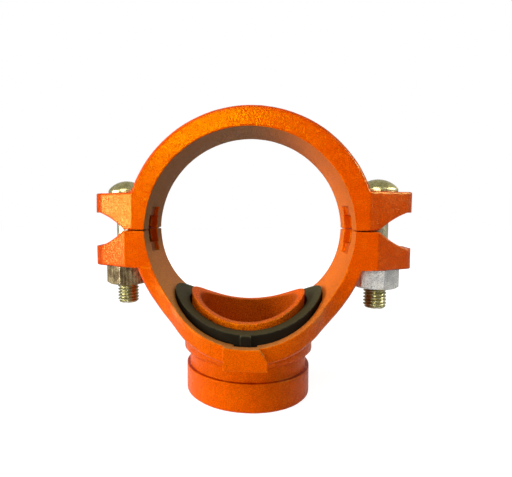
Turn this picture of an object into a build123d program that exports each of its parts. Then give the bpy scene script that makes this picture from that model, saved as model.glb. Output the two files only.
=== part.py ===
from build123d import *
import math
import os

# Grooved mechanical tee, millimetres.
# The run pipe lies along Y. The outlet points down, along -Z.
# The origin is where the run axis crosses the outlet axis, on the plane where the two halves meet.

# Run pipe and the two halves of the clamp
RUN_PIPE_OD = 114.3
BORE_CLEARANCE = 0.85
ARC_OFFSET = 1.4
PAD_GAP = 0.8
RING_DEPTH = 42.0
UPPER_WALL = 11.3
LOWER_WALL_AT_GAP = 7.8
RIM_BEVEL = 1.3

# Outlet, with its groove for a coupling
OUTLET_OD = 73.0
GROOVE_DEPTH = 1.95
END_SEAT = 15.9
GROOVE_WIDTH = 7.95
NECK_STEP = 1.4
NECK_LENGTH = 5.8
NECK_BEVEL = 2.4
WATERWAY_R = 28.5
OUTLET_CHAMFER = 0.6

# Saddle around the hole in the pipe
COLLAR_WALL = 5.0
COLLAR_RISE = 8.0
GASKET_INNER_GAP = 1.4
GASKET_WIDTH = 8.3
GASKET_OUTER_GAP = 0.6
GASKET_RISE = 5.3
GASKET_TOP_R = 62.0
GASKET_SLOT_HEIGHT = 2.4
GASKET_SLOT_DEPTH = 3.6
GASKET_LIP = 2.8
POCKET_DEPTH = 5.0
SADDLE_LAND = 5.5
SADDLE_CORNER = 25.0

# Tabs that stop the gasket turning, one at the front and one at the back
TAB_WIDTH = 5.4
TAB_REACH = 1.9
TAB_SIDE_GAP = 3.2
TAB_END_GAP = 0.5

# Flat cast pads on the front and back of the saddle
FLAT_WIDTH = 21.8
FLAT_PROUD = 1.2
FLAT_DROP = 1.6
FLAT_CORNER_WIDTH = 3.8
FLAT_CORNER_HEIGHT = 5.5

# Bolt pads
BOLT_OFFSET = 16.0
PAD_REACH = 17.0
PAD_PROUD = 0.5
PAD_BURIAL = 0.8
PAD_THICKNESS = 11.3
PAD_NOTCH = 9.9
NOTCH_ROOT = 1.0
NOTCH_CURVE_END = 3.8
NOTCH_BULGE = 1.1
PAD_END_WIDTH = 19.4
UPPER_SLOPE_START = 5.8
LOWER_SLOPE_START = 10.5
PAD_CORNER_RADIUS = 7.0
PAD_BEVEL = 0.5
SEAT_CLEARANCE = 1.0

# Track-head bolts and heavy hex nuts
BOLT_D = 12.7
HEAD_D = 22.2
HEAD_HEIGHT = 7.7
HEAD_RIM = 2.0
BOLT_NECK_LENGTH = 17.0
BOLT_NECK_HEIGHT = 6.0
NECK_CLEARANCE = 0.4
BOLT_HOLE_CLEARANCE = 0.8
NUT_ACROSS_FLATS = 22.2
NUT_HEIGHT = 12.0
NUT_CHAMFER_ANGLE = 30.0
NUT_THREAD_CLEARANCE = 0.05
THREAD_STICKOUT = 12.0
BOLT_TIP_CHAMFER = 1.2
NUT_TURN = {"left": 265.5, "right": 278.0}

# Stepped pockets cast in the bore, where the halves meet
DEEP_POCKET_RISE = 8.3
DEEP_POCKET_WIDTH = 21.0
DEEP_POCKET_DEPTH = 4.5
SHALLOW_POCKET_RISE = 13.5
SHALLOW_POCKET_WIDTH = 17.0
SHALLOW_POCKET_DEPTH = 2.2

# Sizes that follow from those above
bore_r = RUN_PIPE_OD / 2 + BORE_CLEARANCE
mating_z = PAD_GAP / 2
upper_r = bore_r + UPPER_WALL
lower_r = bore_r + LOWER_WALL_AT_GAP
collar_r = WATERWAY_R + COLLAR_WALL
gasket_inner_r = collar_r + GASKET_INNER_GAP
gasket_outer_r = gasket_inner_r + GASKET_WIDTH
pocket_r = gasket_outer_r + GASKET_OUTER_GAP
saddle_r = pocket_r + SADDLE_LAND
pocket_floor_r = bore_r + POCKET_DEPTH
gasket_top_z = ARC_OFFSET - bore_r + GASKET_RISE
collar_top_r = bore_r - COLLAR_RISE
outlet_r = OUTLET_OD / 2
neck_r = outlet_r + NECK_STEP
saddle_bottom_z = -lower_r
groove_top_z = saddle_bottom_z - NECK_LENGTH
groove_bottom_z = groove_top_z - GROOVE_WIDTH
outlet_end_z = groove_bottom_z - END_SEAT
bolt_x = bore_r + BOLT_OFFSET
pad_tip_x = bolt_x + PAD_REACH
pad_top_z = PAD_NOTCH + PAD_THICKNESS
nut_bottom_z = -pad_top_z - NUT_HEIGHT
bolt_tip_z = nut_bottom_z - THREAD_STICKOUT
nut_corner_r = NUT_ACROSS_FLATS / math.sqrt(3)
reach = pad_tip_x + RUN_PIPE_OD

UPPER = 1
LOWER = -1
FRONT = -1
BACK = 1


def run_cylinder(radius, centre_z, length=None):
    """A cylinder along the run, about a line at the given height."""
    return Pos(0, 0, centre_z) * Rot(90, 0, 0) * Cylinder(radius, length or 2 * reach)


def bored(radius, half, length=None):
    """A cylinder along the run, about the line that one half of the clamp is bored to."""
    return run_cylinder(radius, -half * ARC_OFFSET, length)


def half_space(half):
    """The side of the mating plane that one half of the clamp may fill."""
    return Pos(0, 0, half * (mating_z + reach / 2)) * Box(2 * reach, 2 * reach, reach)


def bevel_rim(body):
    """Bevel every curved outer edge of a casting blank that is off the mating plane."""
    rim = body.edges().filter_by(
        lambda edge: edge.geom_type != GeomType.LINE and abs((edge @ 0.5).Z) > mating_z + 1
    )
    return chamfer(rim, RIM_BEVEL)


def bolt_pad(half, side):
    """One tapered pad, curved towards the mating plane and flat where the bolt seats."""
    root_x = upper_r + NOTCH_ROOT
    curve_end_x = pad_tip_x - NOTCH_CURVE_END
    middle = ((root_x + curve_end_x) / 2, (mating_z + PAD_NOTCH) / 2 + NOTCH_BULGE)
    inner_x = bore_r * PAD_BURIAL
    outline = Polyline(
        (curve_end_x, PAD_NOTCH),
        (pad_tip_x, PAD_NOTCH),
        (pad_tip_x, pad_top_z),
        (inner_x, pad_top_z),
        (inner_x, mating_z),
        (root_x, mating_z),
    ) + ThreePointArc((root_x, mating_z), middle, (curve_end_x, PAD_NOTCH))
    side_view = make_face(Plane.XZ * outline)
    slope_x = bore_r + (UPPER_SLOPE_START if half == UPPER else LOWER_SLOPE_START)
    root_y = RING_DEPTH / 2 + PAD_PROUD
    plan = make_face(Polyline(
        (inner_x, -root_y),
        (slope_x, -root_y),
        (pad_tip_x, -PAD_END_WIDTH / 2),
        (pad_tip_x, PAD_END_WIDTH / 2),
        (slope_x, root_y),
        (inner_x, root_y),
        close=True,
    ))
    end_corners = plan.vertices().filter_by(lambda corner: corner.X > slope_x + 1)
    plan = fillet(end_corners, PAD_CORNER_RADIUS)
    pad = extrude(side_view, RING_DEPTH, both=True) & extrude(plan, pad_top_z)
    rim = pad.edges().filter_by(
        lambda edge: edge.center().X > slope_x and abs(edge.center().Z - pad_top_z) < 0.01
    )
    pad = chamfer(rim, PAD_BEVEL)
    if side < 0:
        pad = mirror(pad, Plane.YZ)
    if half == LOWER:
        pad = mirror(pad, Plane.XY)
    return pad


def bore_pockets(half):
    """The stepped pockets in the bore beside the mating plane, as a cutting tool."""
    steps = (
        (DEEP_POCKET_DEPTH, DEEP_POCKET_WIDTH, DEEP_POCKET_RISE),
        (SHALLOW_POCKET_DEPTH, SHALLOW_POCKET_WIDTH, SHALLOW_POCKET_RISE),
    )
    tool = None
    for depth, width, rise in steps:
        slab = Pos(0, 0, half * rise / 2) * Box(2 * reach, width, rise)
        step = bored(bore_r + depth, half, width) & slab
        tool = step if tool is None else tool + step
    return tool


def seat_clearance(half, radius):
    """Room beside a bolt head or nut, cast into the ring where it stands close."""
    seat = Pos(0, 0, half * (pad_top_z + reach / 2)) * Cylinder(radius + SEAT_CLEARANCE, reach)
    return Pos(bolt_x, 0, 0) * seat + Pos(-bolt_x, 0, 0) * seat


def oval(length, width):
    """A slot outline with its long side along the run."""
    return Rot(0, 0, 90) * SlotOverall(length, width)


def make_upper_housing():
    body = run_cylinder(upper_r, -ARC_OFFSET, RING_DEPTH) & half_space(UPPER)
    body = bevel_rim(body)
    for side in (-1, 1):
        body += bolt_pad(UPPER, side)
    body -= bored(bore_r, UPPER)
    body -= bore_pockets(UPPER)
    body -= seat_clearance(UPPER, HEAD_D / 2)
    for side in (-1, 1):
        hole = oval(BOLT_NECK_LENGTH + 2 * NECK_CLEARANCE, BOLT_D + 2 * NECK_CLEARANCE)
        body -= Pos(side * bolt_x, 0, 0) * extrude(hole, pad_top_z)
    return body


def saddle_plan():
    """The lower half seen from above: the ring, and the round plate around the outlet."""
    plan = Rectangle(2 * reach, RING_DEPTH) + Circle(saddle_r)
    inner_corners = plan.vertices().filter_by(lambda corner: abs(corner.X) < saddle_r)
    return fillet(inner_corners, SADDLE_CORNER)


def saddle_flat(side):
    """The flat cast pad on one side of the saddle. The front one has a corner knocked off."""
    bore_bottom_z = ARC_OFFSET - bore_r
    left = -FLAT_WIDTH / 2
    right = FLAT_WIDTH / 2
    bottom_z = saddle_bottom_z - FLAT_DROP
    outline = [(left, bottom_z), (left, gasket_top_z), (right, gasket_top_z), (right, bottom_z)]
    if side == FRONT:
        outline[2:3] = [
            (right - FLAT_CORNER_WIDTH, gasket_top_z),
            (right - FLAT_CORNER_WIDTH, bore_bottom_z),
            (right, bore_bottom_z - FLAT_CORNER_HEIGHT),
        ]
    face = make_face(Polyline(*outline, close=True))
    pad = extrude(Plane.XZ * face, -side * (saddle_r + FLAT_PROUD))
    return pad - Cylinder(WATERWAY_R, 2 * reach)


def circle_at(body, radius, z):
    """The circular edges of a turned body that have the given radius and height."""
    return body.edges().filter_by(
        lambda edge: abs(math.hypot((edge @ 0.5).X, (edge @ 0.5).Y) - radius) < 0.01
        and abs((edge @ 0.5).Z - z) < 0.01
    )


def neck_and_outlet():
    """The outlet: neck bevelled towards the coupling groove, groove and end band."""
    groove_r = outlet_r - GROOVE_DEPTH
    top_z = saddle_bottom_z + LOWER_WALL_AT_GAP
    outline = make_face(Polyline(
        (0, top_z),
        (neck_r, top_z),
        (neck_r, groove_top_z),
        (groove_r, groove_top_z),
        (groove_r, groove_bottom_z),
        (outlet_r, groove_bottom_z),
        (outlet_r, outlet_end_z),
        (0, outlet_end_z),
        close=True,
    ))
    turned = revolve(Plane.XZ * outline, Axis.Z)
    turned = chamfer(circle_at(turned, neck_r, groove_top_z), NECK_BEVEL)
    return chamfer(circle_at(turned, outlet_r, outlet_end_z), OUTLET_CHAMFER)


def make_outlet_housing():
    body = extrude(saddle_plan(), -reach) & run_cylinder(lower_r, 0) & half_space(LOWER)
    body = bevel_rim(body)
    body += neck_and_outlet()
    for side in (-1, 1):
        body += bolt_pad(LOWER, side)
    for side in (FRONT, BACK):
        body += saddle_flat(side)
    body -= bored(bore_r, LOWER)
    pocket = Cylinder(pocket_r, 2 * reach)
    for side in (FRONT, BACK):
        notch_width = TAB_WIDTH + 2 * TAB_SIDE_GAP
        notch_reach = gasket_outer_r + TAB_REACH + TAB_END_GAP
        pocket += Pos(0, side * notch_reach / 2, 0) * Box(notch_width, notch_reach, 2 * reach)
    body -= pocket & bored(pocket_floor_r, LOWER) & half_space(LOWER)
    collar = (Cylinder(collar_r, 2 * reach) & half_space(LOWER)) - bored(collar_top_r, LOWER)
    body += collar & bored(pocket_floor_r, LOWER)
    body -= Cylinder(WATERWAY_R, 2 * reach)
    body -= bore_pockets(LOWER)
    body -= seat_clearance(LOWER, nut_corner_r)
    for side in (-1, 1):
        hole = Cylinder(BOLT_D / 2 + BOLT_HOLE_CLEARANCE, 2 * reach) & half_space(LOWER)
        body -= Pos(side * bolt_x, 0, 0) * hole
    return body


def make_gasket():
    """A saddle-shaped seal with a slot around its inner side, and a tab front and back."""
    blank = Cylinder(gasket_outer_r, 2 * reach)
    for side in (FRONT, BACK):
        tab_reach = gasket_outer_r + TAB_REACH
        blank += Pos(0, side * tab_reach / 2, 0) * Box(TAB_WIDTH, tab_reach, 2 * reach)
    blank -= Cylinder(gasket_inner_r, 2 * reach)
    top_centre_z = gasket_top_z + GASKET_TOP_R
    shell = bored(pocket_floor_r, LOWER) - run_cylinder(GASKET_TOP_R, top_centre_z)
    seal = blank & shell & half_space(LOWER)
    slot_r = GASKET_TOP_R + GASKET_LIP
    slot = run_cylinder(slot_r + GASKET_SLOT_HEIGHT, top_centre_z)
    slot -= run_cylinder(slot_r, top_centre_z)
    return seal - (slot & Cylinder(gasket_inner_r + GASKET_SLOT_DEPTH, 2 * reach))


def make_bolt():
    """A track-head bolt: domed head, oval neck, plain shank and a threaded end below the nut."""
    dome = HEAD_HEIGHT - HEAD_RIM
    head_r = HEAD_D / 2
    dome_r = (head_r**2 + dome**2) / (2 * dome)
    head = Cylinder(head_r, HEAD_HEIGHT, align=(Align.CENTER, Align.CENTER, Align.MIN))
    head &= Pos(0, 0, HEAD_HEIGHT - dome_r) * Sphere(dome_r)
    shank_length = pad_top_z - bolt_tip_z
    shank = Cylinder(BOLT_D / 2, shank_length, align=(Align.CENTER, Align.CENTER, Align.MAX))
    shank = chamfer(shank.edges().sort_by(Axis.Z)[:1], BOLT_TIP_CHAMFER)
    neck = extrude(oval(BOLT_NECK_LENGTH, BOLT_D), -BOLT_NECK_HEIGHT)
    return Pos(0, 0, pad_top_z) * (head + neck + shank)


def make_nut(turn):
    """A heavy hex nut with both faces chamfered to a circle, one corner at the given angle."""
    prism = Rot(0, 0, turn) * extrude(RegularPolygon(nut_corner_r, 6), NUT_HEIGHT)
    drop = (nut_corner_r - NUT_ACROSS_FLATS / 2) * math.tan(math.radians(NUT_CHAMFER_ANGLE))
    flat_r = NUT_ACROSS_FLATS / 2
    turned = revolve(make_face(Plane.XZ * Polyline(
        (0, 0),
        (flat_r, 0),
        (nut_corner_r, drop),
        (nut_corner_r, NUT_HEIGHT - drop),
        (flat_r, NUT_HEIGHT),
        (0, NUT_HEIGHT),
        close=True,
    )), Axis.Z)
    bore = Cylinder(BOLT_D / 2 + NUT_THREAD_CLEARANCE, 4 * NUT_HEIGHT)
    return Pos(0, 0, nut_bottom_z) * ((prism & turned) - bore)


parts = {
    "upper_housing": make_upper_housing(),
    "outlet_housing": make_outlet_housing(),
    "outlet_gasket": make_gasket(),
}
for name, side in (("left", -1), ("right", 1)):
    at_bolt = Pos(side * bolt_x, 0, 0)
    parts["bolt_" + name] = at_bolt * make_bolt()
    parts["nut_" + name] = at_bolt * make_nut(NUT_TURN[name])

os.makedirs("parts", exist_ok=True)
for name, shape in parts.items():
    export_step(shape, "parts/" + name + ".step")
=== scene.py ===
import math

import bmesh
import bpy
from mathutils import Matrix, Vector


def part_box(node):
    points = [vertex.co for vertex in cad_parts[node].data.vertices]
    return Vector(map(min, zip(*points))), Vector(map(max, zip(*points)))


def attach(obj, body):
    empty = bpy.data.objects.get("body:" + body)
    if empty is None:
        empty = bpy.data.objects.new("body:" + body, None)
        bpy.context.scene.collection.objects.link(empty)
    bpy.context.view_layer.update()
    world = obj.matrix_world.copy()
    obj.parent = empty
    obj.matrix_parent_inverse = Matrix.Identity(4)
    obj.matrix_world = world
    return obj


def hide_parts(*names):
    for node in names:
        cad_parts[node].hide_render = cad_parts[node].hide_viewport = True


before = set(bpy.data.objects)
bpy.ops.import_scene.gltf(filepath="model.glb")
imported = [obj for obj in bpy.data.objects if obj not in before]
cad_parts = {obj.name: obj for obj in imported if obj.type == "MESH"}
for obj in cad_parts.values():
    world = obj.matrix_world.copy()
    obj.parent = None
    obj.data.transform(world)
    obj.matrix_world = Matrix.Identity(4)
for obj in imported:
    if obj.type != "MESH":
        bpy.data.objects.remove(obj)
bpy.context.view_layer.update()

# Sizes in metres, read from the frame where it gives them
MM = 0.001
BOLT_LOW, BOLT_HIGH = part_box("bolt_right")
NUT_LOW, NUT_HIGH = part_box("nut_right")
UPPER_LOW, UPPER_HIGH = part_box("upper_housing")
FLOOR_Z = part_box("outlet_housing")[0].z
BOLT_X = (BOLT_LOW.x + BOLT_HIGH.x) / 2
HEAD_R = (BOLT_HIGH.y - BOLT_LOW.y) / 2
HEAD_TOP_Z = BOLT_HIGH.z
TIP_Z = BOLT_LOW.z
NUT_TOP_Z = NUT_HIGH.z
NUT_BOTTOM_Z = NUT_LOW.z
PAD_TOP_Z = -NUT_TOP_Z
PAD_TIP_X = UPPER_HIGH.x
GAP_FACE_Z = UPPER_LOW.z
BORE_R = 58.0 * MM
POCKET_RISE = 13.5 * MM
OUTLET_BORE_R = 28.5 * MM
COLLAR_R = 35.0 * MM

# Camera, solved from the photo's circles and edges
PHOTO_WIDTH = 512
CAMERA_AT = (5.73 * MM, -244.91 * MM, 10.79 * MM)
CAMERA_LEFT = 5.97
CAMERA_DOWN = 3.84
FOCAL_PX = 408.68
AXIS_PX_LEFT_OF_MIDDLE = 41.0
SENSOR_MM = 36.0
NEAREST_SEEN = 0.01

# Bolt: half-inch coarse thread, domed head on a short rim, oval neck
SHANK_R = 6.35 * MM
THREAD_PITCH = 1.954 * MM
THREAD_DEPTH = 1.15 * MM
THREAD_LENGTH = 30.0 * MM
TIP_CHAMFER = 1.2 * MM
HEAD_RIM = 2.0 * MM
HEAD_EDGE = 0.45 * MM
NECK_HALF_LENGTH = 8.5 * MM
NECK_HEIGHT = 6.0 * MM
HEAD_SIDES = 72
DOME_RINGS = 14
BOLT_SHARP_ANGLE = 35

# Thread: its crest and its flank as shares of half a turn's height, and the turns over which it ends
CREST_SHARE = 0.14
FLANK_SHARE = 0.70
RUN_OUT_TURNS = 1.5

# Rod under the head, with whole turns added that keep its thread's phase above zero
ROD_LENGTH = PAD_TOP_Z - TIP_Z
ROD_SIDES = 48
ROWS_PER_TURN = 12
ROD_ROWS = int(ROD_LENGTH / THREAD_PITCH * ROWS_PER_TURN)
TURNS_ADDED = 9

# Heavy hex nut, and the angle at which each one stopped
NUT_APOTHEM = 11.1 * MM
NUT_CHAMFER_ANGLE = 30.0
NUT_EDGE = 0.5 * MM
NUT_SOFTNESS = NUT_EDGE * 0.25
NUT_BORE_R = 6.4 * MM
NUT_LEAD_IN = 0.9 * MM
NUT_TURN = {"left": 265.5, "right": 278.0}

# Nut's mesh: points around it, and rows that run past each chamfer and lie closer near the face
NUT_SIDES = 240
CHAMFER_ROWS = 10
CHAMFER_REACH = 1.4
CHAMFER_BUNCHING = 1.5
NUT_SHARP_ANGLE = 50

# Cast halves: the front faces, where the pads' slanted sides start, and the gap between the halves
RING_HALF_DEPTH = 21.0 * MM
SIDES_START_X = BORE_R * 0.8
PAD_ROOT_X = BORE_R + 11.0 * MM
ROOT_REACH = 4.0 * MM
PAD_ROOT_HALF_DEPTH = 21.5 * MM
PAD_TIP_HALF_DEPTH = 9.7 * MM
SLOPE_START = {"upper_housing": BORE_R + 5.8 * MM, "outlet_housing": BORE_R + 10.5 * MM}
GAP_FACE_BAND = 0.15 * MM
GAP_LAND_HALF_DEPTH = 16.5 * MM
GAP_LAND_END = BORE_R + 9.5 * MM
GAP_LAND_Z = 0.1 * MM

# Meshes: points closer than these are joined, and a casting's form is taken over by an even grid,
# whose cells come from halving its box a number of times
CAD_WELD = 0.001 * MM
TRIM_WELD = 0.02 * MM
ROOT_WELD = 0.3 * MM
CASTING_HALVINGS = 8
SEAL_HALVINGS = 7
GRID_SCALE = 0.86
GRID_SHARPNESS = 1.0
SOFTEN_FACTOR = 0.35

# Paint: for each coat, the two shades of its mottle
COATS = {
    "ring": ((0.71, 0.060, 0.0), (0.85, 0.090, 0.0)),
    "neck": ((0.70, 0.080, 0.0), (0.81, 0.116, 0.0)),
    # In the bore: painted shade on the upper left, lighter painted shade on the lower left, painted
    # light on the right
    "painted_shade_upper_left_bore": ((0.215, 0.083, 0.023), (0.26, 0.110, 0.032)),
    "painted_shade_lower_left_bore": ((0.52, 0.175, 0.043), (0.60, 0.225, 0.056)),
    "painted_light_right_bore": ((0.67, 0.128, 0.012), (0.78, 0.165, 0.015)),
}

# Paint: shades that differ on the collar, each given off it and then on it
OFF_AND_ON_COLLAR = {
    # The edge colour is paler from thin paint and a painted highlight
    "edge_highlight_and_thin_paint": ((0.95, 0.22, 0.01), (1.0, 0.36, 0.06)),
    "speckle_dip": ((0.80, 0.72, 0.78), (0.60, 0.52, 0.5)),
    "speckle_peak": ((1.13, 1.23, 1.12), (1.28, 1.75, 1.9)),
}

# Paint: painted shade in the pockets beside the gap, deep at the left and lighter at the right, and
# single colours, all painted shade or shadow but the pits
POCKET_PAINTED_SHADE = ((0.05, 0.014, 0.006), (0.40, 0.040, 0.003))
OUTLET_PAINTED_SHADE = (0.50, 0.056, 0.002)
PIT_SHADE = (0.36, 0.035, 0.0)
CREASE_PAINTED_SHADE = (0.40, 0.03, 0.0)
SHOULDER_PAINTED_SHADOW = (0.30, 0.02, 0.0)
LEFT_TIP_PAINTED_SHADE = (0.34, 0.030, 0.001)
UNDERSIDE_PAINTED_SHADE = (0.13, 0.014, 0.002)

# Paint: what fades in or out with a distance or with the way a face looks, as the value where the
# fade starts, the value where it ends and, if they aren't 0 and 1, the strengths at both
FADES = {
    "near_bore": (BORE_R + 1.6 * MM, BORE_R + 2.4 * MM, 1.0, 0.0),
    "turned_in": (0.5, 0.8, 1.0, 0.0),
    "beyond_collar": (COLLAR_R, COLLAR_R + 2.0 * MM),
    "above_collar": (-0.45 * BORE_R, -0.35 * BORE_R),
    "pocket_height": (POCKET_RISE, POCKET_RISE + 1.2 * MM, 1.0, 0.0),
    "pocket_mouth": (BORE_R + 0.9 * MM, BORE_R + 2.6 * MM),
    "pocket_floor": (BORE_R + 5.2 * MM, BORE_R + 6.4 * MM, 1.0, 0.0),
    "outlet_wall": (OUTLET_BORE_R + 0.4 * MM, OUTLET_BORE_R + 1.4 * MM, 1.0, 0.0),
    "neck": (-0.4 * BORE_R, -BORE_R),
    "above_neck": (-1.2 * BORE_R, -1.12 * BORE_R),
    "lit_right_side": (-0.1 * BORE_R, 0.9 * BORE_R),
    "low_side": (0.0, -0.32 * BORE_R),
    "facing_up": (0.5, 0.8),
    "facing_down": (-0.12, -0.45),
    "shoulder": (-1.3 * BORE_R, -1.35 * BORE_R),
    "left_tips": (-PAD_TIP_X + 5.9 * MM, -PAD_TIP_X + 5.1 * MM),
    "out_from_ring": (BORE_R + 9.0 * MM, BORE_R + 12.0 * MM),
    "above_nuts": (-PAD_TOP_Z - 2.0 * MM, -PAD_TOP_Z - 1.0 * MM),
    "edge_light": (-0.55 * BORE_R, -0.95 * BORE_R, 0.35, 0.85),
    "gloss": (-0.75 * BORE_R, -1.1 * BORE_R, 0.4, 0.16),
}

# Paint: its sheen, how much rougher and duller some places are, and the collar's coarser grain
SHEEN_TINT = (1.0, 0.74, 0.0, 1)
SHEEN_ROUGHNESS = (0.3, 0.7, 0.21, 0.30)
MATT_ROUGHNESS = 0.45
EDGE_MATTNESS = 0.8
DULLING = 0.8
COLLAR_COARSENESS = 1.5

# Rubber and zinc: shades, and the places along the bolts and nuts where the zinc's shade changes
# Rubber: the near-black sides are painted shade, the paler top painted light with dust mottle, the pale
# edge a painted highlight
RUBBER_SIDE_PAINTED_SHADE = (0.007, 0.005, 0.003)
RUBBER_TOP_LIT_AND_DUSTY = ((0.034, 0.030, 0.010), (0.062, 0.056, 0.022))
RUBBER_EDGE_HIGHLIGHT = (0.13, 0.12, 0.07)
RUBBER_TINT = (1.0, 0.85, 0.5, 1)
ZINC_GRAIN = ((0.80, 0.78, 0.74), (1.14, 1.14, 1.12))
ZINC_LINES = ((0.66, 0.62, 0.54), (1.20, 1.20, 1.20))
ZINC_LINE_STRETCH = (1.0, 1.0, 0.07)
# Zinc: the paler edge is a painted highlight
ZINC_EDGE_HIGHLIGHT = (0.92, 0.90, 0.82)
SHANK_SHADE = (0.46, 0.43, 0.34)
THREAD_SHADE = (0.20, 0.19, 0.12)
BETWEEN_PADS = (PAD_TOP_Z - 4.0 * MM, PAD_TOP_Z - 7.0 * MM)
BELOW_NUTS = (NUT_BOTTOM_Z, NUT_BOTTOM_Z - 1.0 * MM)

# Zinc finishes: pale shade, deep shade, roughness and strength of the drawn lines
ZINC_FINISHES = {
    "khaki_zinc": ((0.46, 0.37, 0.21), (0.19, 0.135, 0.07), 0.28, 1.0),
    "silver_zinc": ((0.74, 0.73, 0.70), (0.54, 0.54, 0.54), 0.30, 0.25),
    "olive_zinc": ((0.72, 0.67, 0.34), (0.50, 0.45, 0.18), 0.30, 0.4),
}

# Studio: each soft light by its angle around from the front, angle up, size and power;
# a sheen light shows only in gloss, a wash light never does
LIGHT_DISTANCE = 1.2
SOFT_LIGHTS = {
    "softbox_left": (-58, 5, 0.6, 12.5),
    "overhead": (-18, 52, 0.6, 6.8),
    "fill_right": (52, 36, 0.7, 1.1),
}
WASH_LIGHTS = {
    "side_left": (-110, 28, 0.6, 6.5),
    "fill_back": (170, 32, 0.8, 5.0),
    "fill_side": (108, 32, 0.7, 2.5),
}
SHEEN_LIGHTS = {
    "sheen_front": (-10, 15, 0.3, 6.5),
    "sheen_left": (-68, -2, 0.16, 2.8),
    "sheen_right": (78, 26, 0.6, 16.0),
}
AMBIENT = 0.01
ROOM_GLOW = 0.16
BACKDROP_GLOW = 0.42
BACKDROP_EDGE = 0.35
FLOOR_HALF_SIZE = 2.0
FLOOR_WHITE_FROM, FLOOR_WHITE_TO = 0.25, 0.8
FLOOR_REFLECTED = 0.3
FLOOR_GLOW = 0.88
FLOOR_BOUNCE = 0.8
FLOOR_SEEN = 0.3


def link(mesh, name):
    obj = bpy.data.objects.new(name, mesh)
    bpy.context.scene.collection.objects.link(obj)
    return obj


def merged_copy(node, name):
    """A copy of a CAD node's mesh with its loose triangles joined."""
    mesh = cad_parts[node].data.copy()
    mesh.name = name
    mesh.materials.clear()
    work = bmesh.new()
    work.from_mesh(mesh)
    bmesh.ops.remove_doubles(work, verts=work.verts, dist=CAD_WELD)
    work.to_mesh(mesh)
    work.free()
    return link(mesh, name)


def apply_modifiers(obj):
    """Turns an object's modifiers into plain mesh."""
    depsgraph = bpy.context.evaluated_depsgraph_get()
    mesh = bpy.data.meshes.new_from_object(obj.evaluated_get(depsgraph))
    obj.modifiers.clear()
    obj.data = mesh


def shade_smooth(obj, angle=None):
    for polygon in obj.data.polygons:
        polygon.use_smooth = True
    if angle is not None:
        obj.data.set_sharp_from_angle(angle=math.radians(angle))


def finish(obj, node, material):
    """Places a finished piece in the frame in place of its CAD node."""
    obj.data.materials.clear()
    obj.data.materials.append(material)
    for polygon in obj.data.polygons:
        polygon.material_index = 0
    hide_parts(node)
    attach(obj, "root")


# Node trees

def new_group(name, kind, inputs, outputs):
    """A node group with named inputs, as (name, socket type, value), and outputs, as (name, type)."""
    tree = bpy.data.node_groups.new(name, kind)
    for label, socket, value in inputs:
        item = tree.interface.new_socket(label, in_out="INPUT", socket_type=socket)
        if value is not None:
            item.default_value = value
    for label, socket in outputs:
        tree.interface.new_socket(label, in_out="OUTPUT", socket_type=socket)
    return tree, tree.nodes.new("NodeGroupInput"), tree.nodes.new("NodeGroupOutput")


class Nodes:
    """Short calls for the few kinds of node that every tree here uses."""

    def __init__(self, tree):
        self.tree = tree

    def add(self, kind, **settings):
        node = self.tree.nodes.new(kind)
        for key, value in settings.items():
            setattr(node, key, value)
        return node

    def feed(self, socket, value):
        if isinstance(value, bpy.types.NodeSocket):
            self.tree.links.new(value, socket)
        elif value is not None:
            socket.default_value = value

    def fill(self, node, **values):
        """Feeds a node's inputs by name."""
        for key, value in values.items():
            self.feed(node.inputs[key.replace("_", " ")], value)
        return node

    def math(self, operation, a, b=None, c=None):
        node = self.add("ShaderNodeMath", operation=operation)
        for socket, value in zip(node.inputs, (a, b, c)):
            self.feed(socket, value)
        return node.outputs[0]

    def times(self, a, b):
        return self.math("MULTIPLY", a, b)

    def most(self, a, b):
        return self.math("MAXIMUM", a, b)

    def split(self, vector):
        """The X, Y and Z of a vector."""
        node = self.add("ShaderNodeSeparateXYZ")
        self.feed(node.inputs[0], vector)
        return node.outputs

    def join(self, x, y, z):
        """The vector with these X, Y and Z, where None is zero."""
        node = self.add("ShaderNodeCombineXYZ")
        for socket, value in zip(node.inputs, (x, y, z)):
            self.feed(socket, value)
        return node.outputs[0]

    def reach(self, vector):
        """The length of a vector."""
        node = self.add("ShaderNodeVectorMath", operation="LENGTH")
        self.feed(node.inputs[0], vector)
        return node.outputs["Value"]

    def noise(self, vector, scale, detail, roughness):
        node = self.add("ShaderNodeTexNoise")
        self.fill(node, Vector=vector, Scale=scale, Detail=detail, Roughness=roughness)
        return node.outputs[0]

    def spread(self, value, low, high, to_low=0.0, to_high=1.0):
        """A smooth step, from to_low where the value is at low to to_high where it is at high."""
        node = self.add("ShaderNodeMapRange", interpolation_type="SMOOTHSTEP")
        self.fill(node, Value=value, From_Min=low, From_Max=high, To_Min=to_low, To_Max=to_high)
        return node.outputs["Result"]

    def mix(self, factor, a, b, blend_type="MIX"):
        """A mix of two colours, each given as an output or as red, green and blue."""
        node = self.add("ShaderNodeMix", data_type="RGBA", blend_type=blend_type)
        self.feed(node.inputs[0], factor)
        for socket, colour in ((node.inputs[6], a), (node.inputs[7], b)):
            self.feed(socket, colour if isinstance(colour, bpy.types.NodeSocket) else (*colour, 1))
        return node.outputs[2]

    def bump(self, height, strength, distance):
        node = self.fill(self.add("ShaderNodeBump"), Strength=strength, Distance=distance, Height=height)
        return node.outputs["Normal"]

    def group(self, tree, **values):
        return self.fill(self.add("ShaderNodeGroup", node_tree=tree), **values).outputs


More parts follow.
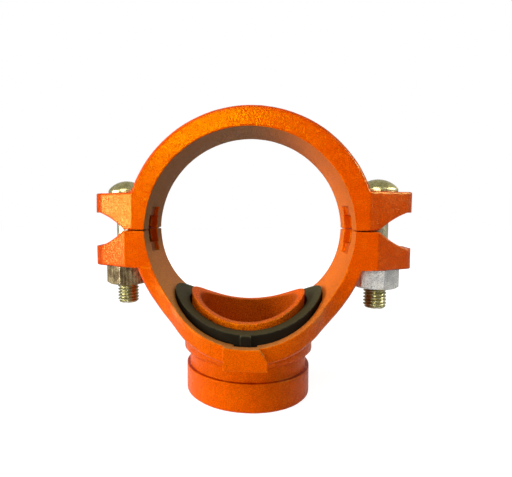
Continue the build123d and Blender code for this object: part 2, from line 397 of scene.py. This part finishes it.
def make_cast_skin():
    """Sand-cast, painted skin: a height for bump, a broad mottle, a fine speckle, and pits."""
    tree, entry, out = new_group(
        "cast_skin",
        "ShaderNodeTree",
        (("Vector", "NodeSocketVector", None), ("Grain", "NodeSocketFloat", 900.0)),
        (
            ("Height", "NodeSocketFloat"),
            ("Mottle", "NodeSocketFloat"),
            ("Speckle", "NodeSocketFloat"),
            ("Pits", "NodeSocketFloat"),
        ),
    )
    n = Nodes(tree)
    vector, grain = entry.outputs["Vector"], entry.outputs["Grain"]
    peel = n.noise(vector, grain, detail=3.0, roughness=0.62)
    bumps = n.add("ShaderNodeTexVoronoi", feature="SMOOTH_F1")
    n.fill(bumps, Vector=vector, Scale=n.times(grain, 0.9))
    height = n.math("ADD", n.times(peel, 0.7), n.times(bumps.outputs["Distance"], -0.35))
    pits = n.spread(n.noise(vector, n.times(grain, 0.8), detail=2.0, roughness=0.5), 0.63, 0.72)
    fine = n.noise(vector, n.times(grain, 1.9), detail=2.0, roughness=0.6)
    n.fill(
        out,
        Height=n.math("SUBTRACT", height, n.times(pits, 0.35)),
        Mottle=n.noise(vector, n.times(grain, 0.16), detail=4.0, roughness=0.6),
        Speckle=n.spread(fine, 0.36, 0.64),
        Pits=pits,
    )
    return tree


def make_edge_mask():
    """How far a spot stands out on an edge, and how far it lies in a crease."""
    tree, entry, out = new_group(
        "edge_mask",
        "ShaderNodeTree",
        (("Vector", "NodeSocketVector", None), ("Breakup", "NodeSocketFloat", 500.0)),
        (("Edge", "NodeSocketFloat"), ("Crease", "NodeSocketFloat")),
    )
    n = Nodes(tree)
    pointiness = n.add("ShaderNodeNewGeometry").outputs["Pointiness"]
    breakup = n.noise(entry.outputs["Vector"], entry.outputs["Breakup"], detail=3.0, roughness=0.6)
    shifted = n.math("ADD", pointiness, n.times(n.math("SUBTRACT", breakup, 0.5), 0.05))
    n.fill(out, Edge=n.spread(shifted, 0.53, 0.62), Crease=n.spread(shifted, 0.47, 0.38))
    return tree


CAST_SKIN = make_cast_skin()
EDGE_MASK = make_edge_mask()


def new_material(name):
    material = bpy.data.materials.new(name)
    material.use_nodes = True
    n = Nodes(material.node_tree)
    shader = material.node_tree.nodes["Principled BSDF"]
    place = n.add("ShaderNodeTexCoord").outputs["Object"]
    return material, n, shader, place


def paint_places(n, place):
    """Where the paint differs on a casting: masks by place, and two levels that change with height."""
    x, y, z = n.split(place)
    facing = n.split(n.add("ShaderNodeNewGeometry").outputs["True Normal"])
    from_run = n.reach(n.join(x, None, z))
    from_outlet = n.reach(n.join(x, y, None))

    def fade(value, name):
        return n.spread(value, *FADES[name])

    turned_in = fade(n.math("ABSOLUTE", facing[1]), "turned_in")
    bore_wall = n.times(fade(from_run, "near_bore"), turned_in)
    above_collar = fade(z, "above_collar")
    off_collar = n.most(fade(from_outlet, "beyond_collar"), above_collar)
    near_gap = n.times(turned_in, fade(n.math("ABSOLUTE", z), "pocket_height"))
    sunk = n.times(fade(from_run, "pocket_mouth"), fade(from_run, "pocket_floor"))
    in_outlet = fade(from_outlet, "outlet_wall")
    on_pads = n.times(fade(n.math("ABSOLUTE", x), "out_from_ring"), fade(z, "above_nuts"))
    return {
        "bore_wall": bore_wall,
        "bore": n.times(bore_wall, off_collar),
        "pocket": n.times(near_gap, sunk),
        "outlet": n.math("SUBTRACT", in_outlet, n.times(in_outlet, above_collar)),
        "collar": n.times(n.math("SUBTRACT", 1.0, off_collar), fade(z, "above_neck")),
        "neck": fade(z, "neck"),
        "lit_right_side": fade(x, "lit_right_side"),
        "low_side": fade(z, "low_side"),
        "shoulder": n.times(fade(facing[2], "facing_up"), fade(z, "shoulder")),
        "left_tips": fade(x, "left_tips"),
        "undersides": n.times(on_pads, fade(facing[2], "facing_down")),
        "edge_light": fade(z, "edge_light"),
        "gloss": fade(z, "gloss"),
    }


def paint_colour(n, on, skin, edges):
    """Orange with painted shade and light in the bore, speckled, with a painted highlight partly from
    thin paint on edges and painted shade in creases.
    """

    def coat(name):
        return n.mix(skin["Mottle"], *COATS[name])

    def by_collar(name):
        return n.mix(on["collar"], *OFF_AND_ON_COLLAR[name])

    colour = n.mix(on["neck"], coat("ring"), coat("neck"))
    # Painted shade on the bore's left, deeper higher up, painted light on its right, then painted shade
    # in the pockets and in the outlet's bore
    left_bore_painted_shade = n.mix(on["low_side"], coat("painted_shade_upper_left_bore"), coat("painted_shade_lower_left_bore"))
    colour = n.mix(on["bore"], colour, n.mix(on["lit_right_side"], left_bore_painted_shade, coat("painted_light_right_bore")))
    colour = n.mix(on["pocket"], colour, n.mix(on["lit_right_side"], *POCKET_PAINTED_SHADE))
    colour = n.mix(on["outlet"], colour, OUTLET_PAINTED_SHADE)
    speckle = n.mix(skin["Speckle"], by_collar("speckle_dip"), by_collar("speckle_peak"))
    colour = n.mix(1.0, colour, speckle, "MULTIPLY")
    # Pits, then a painted highlight partly from thin paint on edges, painted shade in creases, a painted
    # shadow on the outlet's shoulder, and painted shade on the left pads' tips and the pads' undersides
    for mask, strength, shade in (
        (skin["Pits"], 0.25, PIT_SHADE),
        (edges["Edge"], on["edge_light"], by_collar("edge_highlight_and_thin_paint")),
        (edges["Crease"], 0.5, CREASE_PAINTED_SHADE),
        (on["shoulder"], 0.85, SHOULDER_PAINTED_SHADOW),
        (on["left_tips"], 0.5, LEFT_TIP_PAINTED_SHADE),
        (on["undersides"], 1.0, UNDERSIDE_PAINTED_SHADE),
    ):
        colour = n.mix(n.times(mask, strength), colour, shade)
    return colour


def orange_paint():
    """Satin orange over a sand casting, matt in the bore, the outlet and along the edges."""
    material, n, shader, place = new_material("orange_paint")
    skin = n.group(CAST_SKIN, Vector=place, Grain=950.0)
    edges = n.group(EDGE_MASK, Vector=place, Breakup=600.0)
    on = paint_places(n, place)
    dull = n.most(n.most(on["left_tips"], on["undersides"]), edges["Edge"])
    matt = n.most(on["bore_wall"], on["outlet"])
    matt = n.most(matt, n.times(edges["Edge"], EDGE_MATTNESS))
    sheen = n.spread(skin["Mottle"], *SHEEN_ROUGHNESS)
    height = n.times(skin["Height"], n.math("MULTIPLY_ADD", on["collar"], COLLAR_COARSENESS, 1.0))
    n.fill(
        shader,
        Base_Color=paint_colour(n, on, skin, edges),
        Specular_IOR_Level=n.times(on["gloss"], n.math("MULTIPLY_ADD", dull, -DULLING, 1.0)),
        Specular_Tint=SHEEN_TINT,
        Roughness=n.math("ADD", sheen, n.times(matt, MATT_ROUGHNESS)),
        Normal=n.bump(height, 0.7, 0.27 * MM),
    )
    return material


def gasket_rubber():
    """Near-black rubber, paler on top as painted light with dust, and paler along its edges as a painted
    highlight.
    """
    material, n, shader, place = new_material("gasket_rubber")
    dust = n.noise(place, 260.0, detail=4.0, roughness=0.6)
    fine = n.noise(place, 2600.0, detail=3.0, roughness=0.6)
    edges = n.group(EDGE_MASK, Vector=place, Breakup=500.0)
    facing = n.split(n.add("ShaderNodeNewGeometry").outputs["Normal"])
    painted_light_on_top = n.spread(facing[2], 0.45, 0.8)
    # Painted shade on the sides, painted light with dust on the top
    colour = n.mix(painted_light_on_top, RUBBER_SIDE_PAINTED_SHADE, n.mix(dust, *RUBBER_TOP_LIT_AND_DUSTY))
    # A painted highlight along the edges
    n.fill(
        shader,
        Base_Color=n.mix(n.times(edges["Edge"], 0.6), colour, RUBBER_EDGE_HIGHLIGHT),
        Specular_IOR_Level=0.12,
        Specular_Tint=RUBBER_TINT,
        Roughness=n.spread(dust, 0.3, 0.7, 0.58, 0.75),
        Normal=n.bump(n.math("ADD", fine, n.times(dust, 0.5)), 0.35, 0.1 * MM),
    )
    return material


def zinc_plate(name, pale, deep, roughness, drawn_lines):
    """Zinc plating: patchy and grainy, from a pale to a deeper tint, with upright drawn lines."""
    material, n, shader, place = new_material(name)
    z = n.split(place)[2]
    patches = n.noise(place, 170.0, detail=4.0, roughness=0.6)
    fine = n.noise(place, 2400.0, detail=3.0, roughness=0.6)
    edges = n.group(EDGE_MASK, Vector=place, Breakup=900.0)
    stretched = n.add("ShaderNodeVectorMath", operation="MULTIPLY")
    n.feed(stretched.inputs[0], place)
    n.feed(stretched.inputs[1], ZINC_LINE_STRETCH)
    lines = n.noise(stretched.outputs[0], 900.0, detail=2.0, roughness=0.5)
    colour = n.mix(n.spread(patches, 0.36, 0.64), pale, deep)
    colour = n.mix(1.0, colour, n.mix(n.spread(fine, 0.34, 0.66), *ZINC_GRAIN), "MULTIPLY")
    colour = n.mix(drawn_lines, colour, n.mix(n.spread(lines, 0.38, 0.62), *ZINC_LINES), "MULTIPLY")
    # Darker shank between the pads and thread below the nuts, and a painted highlight on the edges
    for mask, strength, shade in (
        (n.spread(n.math("ABSOLUTE", z), *BETWEEN_PADS), 0.6, SHANK_SHADE),
        (n.spread(z, *BELOW_NUTS), 0.4, THREAD_SHADE),
        (edges["Edge"], 0.9, ZINC_EDGE_HIGHLIGHT),
    ):
        colour = n.mix(n.times(mask, strength), colour, shade)
    n.fill(
        shader,
        Base_Color=colour,
        Metallic=1.0,
        Roughness=n.spread(fine, 0.3, 0.7, roughness - 0.07, roughness + 0.1),
        Normal=n.bump(n.math("ADD", fine, patches), 0.3, 0.08 * MM),
    )
    return material


def make_unevenness():
    """Geometry nodes: pushes a cast surface in and out along its normal, broadly and finely."""
    tree, entry, out = new_group(
        "cast_unevenness",
        "GeometryNodeTree",
        (
            ("Geometry", "NodeSocketGeometry", None),
            ("Broad Height", "NodeSocketFloat", 0.15 * MM),
            ("Broad Scale", "NodeSocketFloat", 90.0),
            ("Fine Height", "NodeSocketFloat", 0.07 * MM),
            ("Fine Scale", "NodeSocketFloat", 420.0),
        ),
        (("Geometry", "NodeSocketGeometry"),),
    )
    n = Nodes(tree)
    place = n.add("GeometryNodeInputPosition").outputs[0]
    pushes = []
    for kind in ("Broad", "Fine"):
        wave = n.noise(place, entry.outputs[kind + " Scale"], detail=2.0, roughness=0.5)
        push = n.times(n.math("SUBTRACT", wave, 0.5), entry.outputs[kind + " Height"])
        pushes.append(n.times(push, 2.0))
    offset = n.add("ShaderNodeVectorMath", operation="SCALE")
    n.feed(offset.inputs[0], n.add("GeometryNodeInputNormal").outputs[0])
    n.feed(offset.inputs["Scale"], n.math("ADD", *pushes))
    move = n.add("GeometryNodeSetPosition")
    n.fill(move, Geometry=entry.outputs["Geometry"], Offset=offset.outputs[0])
    n.fill(out, Geometry=move.outputs["Geometry"])
    return tree


UNEVENNESS = make_unevenness()


def run_tree(obj, tree, **values):
    """Runs a geometry node tree on an object, with its inputs by name, and makes it plain mesh."""
    modifier = obj.modifiers.new(tree.name, "NODES")
    modifier.node_group = tree
    for item in tree.interface.items_tree:
        key = item.name.replace(" ", "_")
        if item.in_out == "INPUT" and key in values:
            modifier[item.identifier] = values[key]
    apply_modifiers(obj)


def keep_inside(mesh, corners):
    """Holds a mesh within a box, so that unevenness never adds to the size."""
    low, high = corners
    for vertex in mesh.vertices:
        for axis in range(3):
            vertex.co[axis] = min(max(vertex.co[axis], low[axis]), high[axis])


def at_pad_root(point):
    """Whether a point lies on a slanted side near the upright line where a pad meets the ring."""
    if abs(point.z) >= PAD_TOP_Z or abs(point.y) <= PAD_TIP_HALF_DEPTH:
        return False
    return abs(abs(point.x) - PAD_ROOT_X) < ROOT_REACH


def trim_clamp_half(mesh, slope_start):
    """Runs the pads' slanted sides on across the ring, and a land along the middle of each gap face."""
    slant = (PAD_ROOT_HALF_DEPTH - PAD_TIP_HALF_DEPTH) / (PAD_TIP_X - slope_start)
    for vertex in mesh.vertices:
        x, y, z = (abs(part) for part in vertex.co)
        if z > PAD_TOP_Z or x < SIDES_START_X:
            continue
        limit = min(RING_HALF_DEPTH, PAD_ROOT_HALF_DEPTH - slant * (x - slope_start))
        vertex.co.y = max(-limit, min(limit, vertex.co.y))
        if z < GAP_FACE_Z + GAP_FACE_BAND and y < GAP_LAND_HALF_DEPTH and x < GAP_LAND_END:
            vertex.co.z = math.copysign(GAP_LAND_Z, vertex.co.z)
    work = bmesh.new()
    work.from_mesh(mesh)
    bmesh.ops.remove_doubles(work, verts=work.verts, dist=TRIM_WELD)
    bmesh.ops.dissolve_degenerate(work, edges=work.edges, dist=TRIM_WELD)
    root = [vertex for vertex in work.verts if at_pad_root(vertex.co)]
    bmesh.ops.remove_doubles(work, verts=root, dist=ROOT_WELD)
    work.to_mesh(mesh)
    work.free()


def cast_piece(node, name, halvings, **uneven):
    """A casting: the CAD form on an even grid, its edges eased and its skin uneven."""
    obj = merged_copy(node, name)
    remesh = obj.modifiers.new("grid", "REMESH")
    remesh.mode = "SHARP"
    remesh.octree_depth = halvings
    remesh.scale = GRID_SCALE
    remesh.sharpness = GRID_SHARPNESS
    soften = obj.modifiers.new("soften", "SMOOTH")
    soften.factor = SOFTEN_FACTOR
    soften.iterations = 1
    apply_modifiers(obj)
    run_tree(obj, UNEVENNESS, **uneven)
    keep_inside(obj.data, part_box(node))
    if node in SLOPE_START:
        trim_clamp_half(obj.data, SLOPE_START[node])
    shade_smooth(obj)
    return obj


def make_threaded_rod():
    """Geometry nodes: adds a rod along Z to the mesh it is given, cut with a thread from its tip up."""
    tree, entry, out = new_group(
        "threaded_rod",
        "GeometryNodeTree",
        (
            ("Geometry", "NodeSocketGeometry", None),
            ("Radius", "NodeSocketFloat", SHANK_R),
            ("Tip Height", "NodeSocketFloat", TIP_Z),
            ("Length", "NodeSocketFloat", ROD_LENGTH),
            ("Pitch", "NodeSocketFloat", THREAD_PITCH),
            ("Depth", "NodeSocketFloat", THREAD_DEPTH),
            ("Thread Length", "NodeSocketFloat", THREAD_LENGTH),
            ("Tip Chamfer", "NodeSocketFloat", TIP_CHAMFER),
            ("Rows", "NodeSocketInt", ROD_ROWS),
            ("Finish", "NodeSocketMaterial", None),
        ),
        (("Geometry", "NodeSocketGeometry"),),
    )
    n = Nodes(tree)
    given = entry.outputs
    rod = n.add("GeometryNodeMeshCylinder", fill_type="TRIANGLE_FAN")
    n.fill(
        rod,
        Vertices=ROD_SIDES,
        Side_Segments=given["Rows"],
        Fill_Segments=1,
        Radius=given["Radius"],
        Depth=given["Length"],
    )
    x, y, z = n.split(n.add("GeometryNodeInputPosition").outputs[0])
    above_tip = n.math("ADD", z, n.times(given["Length"], 0.5))
    turns = n.math("DIVIDE", n.math("ARCTAN2", y, x), 2 * math.pi)
    rise = n.math("SUBTRACT", n.math("DIVIDE", above_tip, given["Pitch"]), turns)
    phase = n.math("FRACT", n.math("ADD", rise, TURNS_ADDED))
    off_crest = n.times(n.math("ABSOLUTE", n.math("SUBTRACT", phase, 0.5)), 2.0)
    groove = n.math("DIVIDE", n.math("SUBTRACT", off_crest, CREST_SHARE), FLANK_SHARE)
    groove = n.math("MINIMUM", n.most(groove, 0.0), 1.0)
    run_out = n.math("SUBTRACT", given["Thread Length"], n.times(given["Pitch"], RUN_OUT_TURNS))
    groove = n.times(groove, n.spread(above_tip, run_out, given["Thread Length"], 1.0, 0.0))
    radius = n.math("SUBTRACT", given["Radius"], n.times(groove, given["Depth"]))
    at_tip = n.math("ADD", n.math("SUBTRACT", given["Radius"], given["Tip Chamfer"]), above_tip)
    factor = n.math("DIVIDE", n.math("MINIMUM", radius, at_tip), given["Radius"])
    moved = n.join(n.times(x, factor), n.times(y, factor), n.math("ADD", above_tip, given["Tip Height"]))
    cut = n.add("GeometryNodeSetPosition")
    n.fill(cut, Geometry=rod.outputs["Mesh"], Position=moved)
    both = n.add("GeometryNodeJoinGeometry")
    for part in (given["Geometry"], cut.outputs["Geometry"]):
        n.feed(both.inputs[0], part)
    real = n.add("GeometryNodeRealizeInstances")
    n.fill(real, Geometry=both.outputs[0])
    coat = n.add("GeometryNodeSetMaterial")
    n.fill(coat, Geometry=real.outputs["Geometry"], Material=given["Finish"])
    n.fill(out, Geometry=coat.outputs["Geometry"])
    return tree


THREADED_ROD = make_threaded_rod()


def ring_mesh(rings, name, closed=False):
    """Joins rings of points, all of one length, into a skin; a ring of one point is a pole."""
    work = bmesh.new()
    made = [[work.verts.new(point) for point in ring] for ring in rings]
    pairs = list(zip(made, made[1:]))
    if closed:
        pairs.append((made[-1], made[0]))
    for low, high in pairs:
        count = max(len(low), len(high))
        for i in range(count):
            k = (i + 1) % count
            corners = [low[i % len(low)], low[k % len(low)], high[k % len(high)], high[i % len(high)]]
            work.faces.new(list(dict.fromkeys(corners)))
    bmesh.ops.recalc_face_normals(work, faces=work.faces)
    mesh = bpy.data.meshes.new(name)
    work.to_mesh(mesh)
    work.free()
    return mesh


def angles_around(steps):
    return [2 * math.pi * i / steps for i in range(steps)]


def circle(radius, z, steps, stretch=0.0):
    """A ring of points about Z; stretch pulls its two ends apart along X into an oval."""
    if radius == 0:
        return [(0, 0, z)]
    return [
        (radius * math.cos(a) + stretch * (1 if math.cos(a) > 0 else -1), radius * math.sin(a), z)
        for a in angles_around(steps)
    ]


def move_to_side(mesh, side):
    """Shifts a bolt or a nut from the middle to the pads on its side."""
    for vertex in mesh.vertices:
        vertex.co.x += BOLT_X if side == "right" else -BOLT_X


def head_and_neck():
    """The domed head with its rim, down to the oval neck that keeps the bolt from turning."""
    rim_top = PAD_TOP_Z + HEAD_RIM
    dome_height = HEAD_TOP_Z - PAD_TOP_Z - HEAD_RIM
    dome_r = (HEAD_R**2 + dome_height**2) / (2 * dome_height)
    dome_centre = HEAD_TOP_Z - dome_r
    rings = [circle(0, HEAD_TOP_Z, HEAD_SIDES)]
    for i in range(1, DOME_RINGS):
        radius = (HEAD_R - HEAD_EDGE) * math.sin(math.pi / 2 * i / (DOME_RINGS - 1))
        rings.append(circle(radius, dome_centre + math.sqrt(dome_r**2 - radius**2), HEAD_SIDES))
    for inset, z in (
        (0.15, rim_top - 0.1 * HEAD_EDGE),
        (0.0, rim_top - HEAD_EDGE),
        (0.0, PAD_TOP_Z + HEAD_EDGE),
        (0.3, PAD_TOP_Z + 0.3 * HEAD_EDGE),
        (1.0, PAD_TOP_Z),
    ):
        rings.append(circle(HEAD_R - inset * HEAD_EDGE, z, HEAD_SIDES))
    neck_bottom = PAD_TOP_Z - NECK_HEIGHT
    for radius, z in (
        (SHANK_R, PAD_TOP_Z),
        (SHANK_R, neck_bottom + HEAD_EDGE),
        (SHANK_R - HEAD_EDGE, neck_bottom),
    ):
        rings.append(circle(radius, z, HEAD_SIDES, stretch=NECK_HALF_LENGTH - SHANK_R))
    rings.append(circle(0, neck_bottom, HEAD_SIDES))
    return ring_mesh(rings, "bolt_head")


def bolt(side, plating):
    """A track-head bolt: its head and neck, and a rod with a rolled thread."""
    obj = link(head_and_neck(), "track_bolt_" + side)
    run_tree(obj, THREADED_ROD, Finish=plating)
    move_to_side(obj.data, side)
    shade_smooth(obj, BOLT_SHARP_ANGLE)
    return obj


def softly_least(values, softness):
    """The least of some lengths, eased where two are close, as on a worn edge."""
    least = min(values)
    return least - softness * math.log(sum(math.exp((least - value) / softness) for value in values))


def nut_outline(level, height, turn):
    """The nut's outside at a level above its lower face, one point for each angle."""
    points = []
    slope = math.tan(math.radians(NUT_CHAMFER_ANGLE))
    cone = NUT_APOTHEM + min(level, height - level) / slope
    for a in angles_around(NUT_SIDES):
        cosines = [math.cos(a - turn - math.pi / 6 - k * math.pi / 3) for k in range(6)]
        flats = [NUT_APOTHEM / cosine for cosine in cosines if cosine > 0.5]
        radius = softly_least(flats + [cone], NUT_SOFTNESS)
        points.append((radius * math.cos(a), radius * math.sin(a), NUT_BOTTOM_Z + level))
    return points


def nut(side):
    """A heavy hex nut: each face chamfered to a circle, edges slightly rounded, bored for the bolt."""
    corner = NUT_APOTHEM / math.cos(math.pi / 6)
    drop = (corner - NUT_APOTHEM) * math.tan(math.radians(NUT_CHAMFER_ANGLE))
    height = NUT_TOP_Z - NUT_BOTTOM_Z
    rows = range(CHAMFER_ROWS + 1)
    depths = [drop * CHAMFER_REACH * (i / CHAMFER_ROWS) ** CHAMFER_BUNCHING for i in rows]
    levels = depths + [height / 2] + [height - depth for depth in reversed(depths)]
    mouth_r = NUT_BORE_R + NUT_LEAD_IN
    rim_r = NUT_APOTHEM - 2 * NUT_EDGE
    below = [(NUT_BORE_R, NUT_LEAD_IN), (mouth_r, 0), (rim_r, 0)]
    above = [(rim_r, height), (mouth_r, height), (NUT_BORE_R, height - NUT_LEAD_IN)]
    rings = [circle(radius, NUT_BOTTOM_Z + level, NUT_SIDES) for radius, level in below]
    rings += [nut_outline(level, height, math.radians(NUT_TURN[side])) for level in levels]
    rings += [circle(radius, NUT_BOTTOM_Z + level, NUT_SIDES) for radius, level in above]
    name = "hex_nut_" + side
    obj = link(ring_mesh(rings, name, closed=True), name)
    move_to_side(obj.data, side)
    shade_smooth(obj, NUT_SHARP_ANGLE)
    return obj


def grey(level):
    return (level, level, level)


def add_floor():
    """A pale floor that looks white far off, glows a little less near the part, and takes its shadow."""
    half = FLOOR_HALF_SIZE
    corners = [(x, y, FLOOR_Z) for x, y in ((-half, -half), (half, -half), (half, half), (-half, half))]
    mesh = bpy.data.meshes.new("floor")
    mesh.from_pydata(corners, [], [(0, 1, 2, 3)])
    floor = link(mesh, "floor")
    material = bpy.data.materials.new("pale_floor")
    material.use_nodes = True
    tree = material.node_tree
    tree.nodes.remove(tree.nodes["Principled BSDF"])
    n = Nodes(tree)
    seen = n.add("ShaderNodeLightPath").outputs
    background = n.most(seen["Is Camera Ray"], seen["Is Glossy Ray"])
    background = n.most(background, seen["Is Transmission Ray"])
    away = n.reach(n.add("ShaderNodeTexCoord").outputs["Object"])
    level = n.spread(away, FLOOR_WHITE_FROM, FLOOR_WHITE_TO, FLOOR_GLOW, 1.0)
    level = n.mix(seen["Is Glossy Ray"], level, grey(FLOOR_REFLECTED))
    diffuse = n.add("ShaderNodeBsdfDiffuse")
    n.fill(diffuse, Color=n.mix(background, grey(FLOOR_BOUNCE), grey(FLOOR_SEEN)))
    glow = n.add("ShaderNodeEmission")
    n.fill(glow, Color=level, Strength=background)
    both = n.add("ShaderNodeAddShader")
    for socket, part in zip(both.inputs, (diffuse, glow)):
        n.feed(socket, part.outputs[0])
    n.fill(tree.nodes["Material Output"], Surface=both.outputs[0])
    floor.data.materials.append(material)


def add_world():
    """White to the camera, and to gloss a dim room with a brighter backdrop behind the part."""
    world = bpy.data.worlds.new("studio")
    bpy.context.scene.world = world
    world.use_nodes = True
    n = Nodes(world.node_tree)
    paths = n.add("ShaderNodeLightPath").outputs
    facing = n.split(n.add("ShaderNodeTexCoord").outputs["Generated"])
    backdrop = n.spread(facing[1], -BACKDROP_EDGE, BACKDROP_EDGE, ROOM_GLOW, BACKDROP_GLOW)
    reflected = n.most(paths["Is Glossy Ray"], paths["Is Transmission Ray"])
    strength = n.math("ADD", n.times(reflected, backdrop), AMBIENT)
    strength = n.most(strength, paths["Is Camera Ray"])
    n.fill(world.node_tree.nodes["Background"], Color=(1, 1, 1, 1), Strength=strength)


def add_light(name, around, up, size, power):
    light = bpy.data.lights.new(name, "AREA")
    light.shape = "DISK"
    light.size = size
    light.energy = power
    around, up = math.radians(around), math.radians(up)
    flat = LIGHT_DISTANCE * math.cos(up)
    place = Vector((flat * math.sin(around), -flat * math.cos(around), LIGHT_DISTANCE * math.sin(up)))
    obj = link(light, name)
    obj.location = place
    obj.rotation_euler = (-place).to_track_quat("-Z", "Y").to_euler()
    obj.visible_diffuse = name not in SHEEN_LIGHTS
    obj.visible_glossy = name not in WASH_LIGHTS


def add_camera():
    camera = bpy.data.cameras.new("photo_view")
    camera.sensor_fit = "HORIZONTAL"
    camera.sensor_width = SENSOR_MM
    camera.lens = FOCAL_PX / PHOTO_WIDTH * SENSOR_MM
    camera.shift_x = AXIS_PX_LEFT_OF_MIDDLE / PHOTO_WIDTH
    camera.clip_start = NEAREST_SEEN
    obj = link(camera, "photo_view")
    obj.location = CAMERA_AT
    obj.rotation_euler = (math.radians(90 - CAMERA_DOWN), 0, math.radians(CAMERA_LEFT))
    bpy.context.scene.camera = obj


bpy.context.scene.view_settings.view_transform = "Standard"
paint = orange_paint()
rubber = gasket_rubber()
upper = cast_piece("upper_housing", "upper_clamp_half", CASTING_HALVINGS)
finish(upper, "upper_housing", paint)
lower = cast_piece("outlet_housing", "outlet_clamp_half", CASTING_HALVINGS)
finish(lower, "outlet_housing", paint)
uneven = {"Broad_Height": 0.05 * MM, "Fine_Height": 0.01 * MM}
seal = cast_piece("outlet_gasket", "saddle_seal", SEAL_HALVINGS, **uneven)
finish(seal, "outlet_gasket", rubber)
zinc = {name: zinc_plate(name, *look) for name, look in ZINC_FINISHES.items()}
for side, nut_zinc in (("left", zinc["khaki_zinc"]), ("right", zinc["silver_zinc"])):
    finish(bolt(side, zinc["olive_zinc"]), "bolt_" + side, zinc["olive_zinc"])
    finish(nut(side), "nut_" + side, nut_zinc)

add_floor()
add_world()
for name, look in {**SOFT_LIGHTS, **WASH_LIGHTS, **SHEEN_LIGHTS}.items():
    add_light(name, *look)
add_camera()
